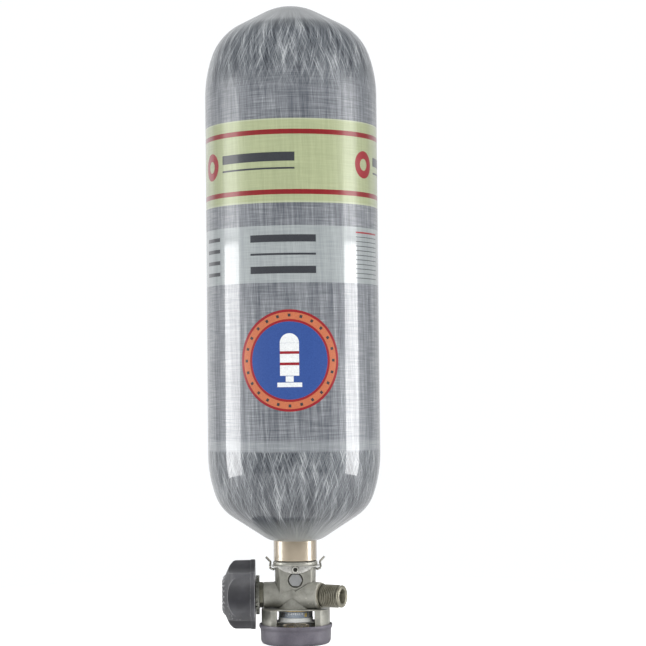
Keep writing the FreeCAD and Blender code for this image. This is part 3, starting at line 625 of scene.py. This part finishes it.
def decal_marks():
    """A tan ring with even ticks round a blue disc, and a plain white vessel pictogram."""
    inner = DECAL_R * 0.765    # the blue disc's radius

    def lay_on(name, shapes, ink, layer=0):
        rolled_print(
            name, shapes, ink, TANK_R, DECAL_TURN, DECAL_Z, layer=layer
        )

    lay_on("decal_rim", [flat_ring((0, 0), DECAL_R - 2.3 * MM, DECAL_R - 0.1 * MM, 96)], INK_RED)
    lay_on("decal_inner_rim", [flat_ring((0, 0), inner, inner + 2.0 * MM, 96)], INK_RED)
    lay_on("decal_field", [flat_ring((0, 0), 0, inner - 0.1 * MM, 96)], INK_BLUE)
    ticks = []
    count, sweep = 24, 0.06
    for k in range(count):
        start = 2 * math.pi * k / count - sweep / 2
        ticks.append(flat_ring((0, 0), inner + 4.2 * MM, inner + 6.8 * MM, 4, start, sweep))
    lay_on("decal_ticks", ticks, INK)
    vessel, neck, foot = (17, 29, 1), (7, 5, -16.4), (22, 4, -21.5)
    dome = flat_ring((0, 15.6 * MM), 0, 8.5 * MM, 24, 0.0, math.pi)
    body = plain_bars([vessel]) + [dome] + plain_bars([neck, foot])
    lay_on("decal_pictogram", body, INK_WHITE, layer=1)
    lay_on("decal_bands", plain_bars([(17, 2.4, 7), (17, 2.4, -3)]), INK_RED, layer=2)


# ---- valve pieces --------------------------------------------------------------------
def outlet_thread():
    """The outlet fitting turned with its real helical thread, 14 turns an inch."""
    pitch = 25.4 * MM / 14
    depth = 1.05 * MM
    major = MOUNTS["outlet_thread"]["dims"]["r_mm"] * MM
    bore = MOUNTS["outlet_bore"]["dims"]["r_mm"] * MM
    start, end = 28.2 * MM, 44.9 * MM
    spokes = 96
    steps = 120
    collar = [(8.4, 15.4), (8.4, 26.35), (11.1, 26.35), (11.4, 26.6), (11.4, 27.4), (11.1, 27.8)]
    collar += [(9.5, 27.9)]
    nose = [(9.4, 45.2), (9.4, 45.9), (9.9, 46.1), (10.15, 46.4), (10.15, 47.6), (9.9, 48.1)]
    nose += [(9.3, 48.45), (7.5, 48.45), (6.9, 48.2), (6.4, 47.6)]
    inside = [(bore / MM, 33.2), (2.5, 33.0), (2.5, 15.4)]

    def turned(profile):
        """Rings of points, all alike, for (radius, station) pairs in millimetres."""
        return [[(radius * MM, station * MM)] * spokes for radius, station in profile]

    rows = turned(collar)
    for step in range(steps + 1):
        station = start + (end - start) * step / steps
        fade = min(1.0, (station - start) / pitch, (end - station) / (0.6 * pitch))
        row = []
        for spoke in range(spokes):
            phase = (station / pitch - spoke / spokes) % 1.0
            flank = min(1.0, 2.6 * abs(phase - 0.5))
            row.append((major - depth + depth * flank * max(0.0, fade), station))
        rows.append(row)
    rows += turned(nose + inside)
    side = OUTLET_WAY.cross(Vector((0, 0, 1))).normalized()
    base = Vector((0, 0, AXIS_Z))
    points = []
    for row in rows:
        for spoke, (radius, station) in enumerate(row):
            angle = 2 * math.pi * spoke / spokes
            offset = side * math.cos(angle) + Vector((0, 0, 1)) * math.sin(angle)
            points.append(base + OUTLET_WAY * station + offset * radius)
    faces = []
    for row in range(len(rows)):
        below = ((row + 1) % len(rows)) * spokes
        for spoke in range(spokes):
            after = (spoke + 1) % spokes
            here = row * spokes
            faces.append((here + spoke, here + after, below + after, below + spoke))
    piece = new_piece("outlet_thread", points, faces, OUTLET_METAL, "root")
    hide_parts("outlet_fitting")


def knob_nubs():
    """Small raised ribs moulded round the edge of the knob's outer face."""
    count, rows, columns = 20, 5, 8
    ring, half_long, half_wide, tall = 15.4 * MM, 3.2 * MM, 1.15 * MM, 1.55 * MM
    slope = 0.42    # how steeply the knob's face falls away outwards
    points, faces = [], []
    for nub in range(count):
        around = 2 * math.pi * nub / count
        first = len(points)
        for row in range(rows):
            lift = math.sin(math.pi / 2 * row / rows)
            spread = math.cos(math.pi / 2 * row / rows)
            for column in range(columns):
                angle = 2 * math.pi * column / columns
                out = ring + half_long * spread * math.cos(angle)
                along = half_wide * spread * math.sin(angle)
                far = KNOB_OUTER - tall - slope * (out - ring) + tall * lift
                y = out * math.cos(around) - along * math.sin(around)
                z = AXIS_Z + out * math.sin(around) + along * math.cos(around)
                points.append((-far, y, z))
        for row in range(rows - 1):
            for column in range(columns):
                after = (column + 1) % columns
                a, b = first + row * columns, first + (row + 1) * columns
                faces.append((a + column, a + after, b + after, b + column))
        faces.append(tuple(first + (rows - 1) * columns + column for column in range(columns)))
        faces.append(tuple(first + column for column in reversed(range(columns))))
    new_piece("knob_nubs", points, faces, KNOB_RUBBER, "knob")


def drum_print():
    """The scale round the turning drum, read through the windows."""
    radius = (DRUM_HIGH.x - DRUM_LOW.x) / 2
    middle = (DRUM_LOW.z + DRUM_HIGH.z) / 2 + 0.1 * MM

    def print_on(name, shapes, ink, layer=0):
        rolled_print(name, shapes, ink, radius, 0.0, middle, "pointer", layer)

    ticks = []
    for k in range(9):
        tall = 1.9 if k % 2 == 0 else 1.1
        across = (-7 + 1.7 * k) * MM
        ticks.append(flat_bar((across, 0.9 * MM), (0.5 * MM, tall * MM), 0.3 * MM))
    print_on("drum_ticks", ticks, INK_WHITE)
    print_on("drum_block", [flat_bar((-13.5 * MM, 0), (5.5 * MM, 4.2 * MM))], INK)
    yellow = flat_bar((9.8 * MM, -0.2 * MM), (2.6 * MM, 3.6 * MM))
    print_on("drum_yellow", [yellow], INK_YELLOW)
    print_on("drum_white", [flat_bar((15.2 * MM, 0), (5.4 * MM, 4.3 * MM))], INK_WHITE)
    bars = [flat_bar((at * MM, 0), (0.7 * MM, 4.2 * MM), 0.3 * MM) for at in (14.2, 16.6)]
    print_on("drum_bars", bars, INK, 1)


def dial_print():
    """Ticks and two coloured arcs on the dial that faces down, which has no figures."""

    def lay(across, up, lift):
        return (across, up, DIAL_LOW - lift)

    start, sweep = math.radians(225), math.radians(270)
    ticks = []
    steps = 27
    for k in range(steps + 1):
        angle = start + sweep * k / steps
        inner = 11.4 * MM if k % 3 == 0 else 12.6 * MM
        width = 0.030 if k % 3 == 0 else 0.018
        ticks.append(flat_ring((0, 0), inner, 14.0 * MM, 2, angle - width / 2, width))
    low = [flat_ring((0, 0), 14.3 * MM, 15.3 * MM, 20, start, sweep * 0.24)]
    full = [flat_ring((0, 0), 14.3 * MM, 15.3 * MM, 40, start + sweep * 0.26, sweep * 0.74)]
    for name, shapes, ink in (
        ("dial_ticks", ticks, INK), ("dial_low_arc", low, INK_RED),
        ("dial_full_arc", full, INK_SOFT),
    ):
        points, faces = closed_sheet(*gather(shapes), lay)
        new_piece(name, points, faces, ink, "root")


# node, piece, material, body, slot, voxel size and smoothing passes
SOFTENED = (
    ("valve_body", "cast_body", VALVE_ALLOY, "root", "valve_alloy", 0.42 * MM, 5),
    ("gauge_guard", "cast_guard", VALVE_ALLOY, "root", "valve_alloy", 0.42 * MM, 3),
    ("knob_grip", "moulded_knob", KNOB_RUBBER, "knob", "knob_rubber", 0.40 * MM, 2),
    ("bumper", "moulded_bumper", BUMPER_RUBBER, "root", "bumper_rubber", 0.50 * MM, 4),
)


def make_pieces():
    for node, material in NODE_MATERIALS.items():
        mesh = frame["nodes"][node].data
        mesh.materials.clear()
        mesh.materials.append(material)
    for piece in SOFTENED:
        softened(*piece)
    outlet_thread()
    knob_nubs()
    band_marks()
    rating_marks()
    decal_marks()
    drum_print()
    dial_print()


# ---- stage, light and camera ---------------------------------------------------------
def white_to_camera(tree, socket, seen, felt):
    """Sets a strength to one value for the camera and to another for everything it lights."""
    path = tree.nodes.new("ShaderNodeLightPath")
    pick = tree.nodes.new("ShaderNodeMapRange")
    tree.links.new(path.outputs["Is Camera Ray"], pick.inputs["Value"])
    if isinstance(felt, (int, float)):
        pick.inputs["To Min"].default_value = felt
    else:
        tree.links.new(felt, pick.inputs["To Min"])
    pick.inputs["To Max"].default_value = seen
    tree.links.new(pick.outputs[0], socket)


def make_floor():
    """A plain pale round floor, narrow enough for the side lights to reach below it."""
    bpy.ops.mesh.primitive_circle_add(vertices=96, radius=0.62, fill_type="NGON")
    floor = bpy.context.object
    floor.name = "floor"
    paint = Paint("pale_floor", (0.86, 0.86, 0.86), 0.9)
    stops = [(0.3, (0.84,) * 3), (0.7, (0.88,) * 3)]
    paint.feed("Base Color", paint.ramp(paint.noise(3, 2.0), stops))
    paint.fix("Emission Color", (1, 1, 1, 1))
    white_to_camera(paint.tree, paint.shader.inputs["Emission Strength"], 0.80, 0.06)
    floor.data.materials.append(paint.material)


def softbox(name, place, size, watts, towards, glossy=True):
    """A rectangular lamp that the camera doesn't see, and reflections only if glossy."""
    lamp = bpy.data.lights.new(name, "AREA")
    lamp.shape = "RECTANGLE"
    lamp.size, lamp.size_y = size
    lamp.energy = watts
    holder = bpy.data.objects.new(name, lamp)
    holder.location = place
    holder.rotation_mode = "QUATERNION"
    holder.rotation_quaternion = (Vector(towards) - Vector(place)).to_track_quat("-Z", "Y")
    holder.visible_camera = False
    holder.visible_glossy = glossy
    bpy.context.scene.collection.objects.link(holder)


def make_room():
    """A dim room with a wide bright screen behind the object; the camera sees it all white."""
    world = bpy.data.worlds.new("room")
    world.use_nodes = True
    tree = world.node_tree
    background = tree.nodes["Background"]
    background.inputs["Color"].default_value = (0.97, 0.985, 1.0, 1.0)
    way = tree.nodes.new("ShaderNodeTexCoord")
    split = tree.nodes.new("ShaderNodeSeparateXYZ")
    tree.links.new(way.outputs["Generated"], split.inputs[0])
    screen = map_range(tree, split.outputs["Y"], 0.590, 0.612, 0.24, 0.80)
    lean = map_range(tree, split.outputs["X"], -1, 1, 1.28, 0.72)
    both = tree.nodes.new("ShaderNodeMath")
    both.operation = "MULTIPLY"
    tree.links.new(screen, both.inputs[0])
    tree.links.new(lean, both.inputs[1])
    white_to_camera(tree, background.inputs["Strength"], 1.03, both.outputs[0])
    bpy.context.scene.world = world


def make_light():
    """Tall strips that only shine as highlights, and broad fills that only light."""
    make_room()
    for name, side, ahead, width in (("left", -1, 0.075, 0.46), ("right", 1, 0.150, 0.40)):
        for strip, height, tall, watts in (
            ("strip_", 0.01, 0.86, 9.4), ("strip_top_", 0.62, 0.34, 1.05)
        ):
            softbox(strip + name, (side, -ahead, height), (width, tall), watts, (0, 0, height))
            bpy.data.objects[strip + name].visible_diffuse = False
        fill = (side * 1.83, -0.55, 0.75)
        softbox("fill_" + name, fill, (0.8, 1.2), 17, (0, 0, 0.3), glossy=False)
    softbox("fill_front", (0.25, -1.8, 1.9), (1.4, 1.0), 44, (0, 0, 0.32), glossy=False)


def make_camera():
    """Level with the lower half of the vessel, tilted up a little and rolled by half a degree."""
    distance, height = 1.750, 0.2308
    tilt, roll = math.radians(2.09), math.radians(0.556)
    data = bpy.data.cameras.new("camera")
    data.sensor_width = 36.0
    data.lens = 105.4
    data.shift_x = 0.0455
    camera = bpy.data.objects.new("camera", data)
    camera.location = (0, -distance, height)
    camera.rotation_euler = (math.pi / 2 + tilt, roll, 0)
    bpy.context.scene.collection.objects.link(camera)
    bpy.context.scene.camera = camera


bpy.context.scene.view_settings.view_transform = "Standard"
make_pieces()
make_floor()
make_light()
make_camera()
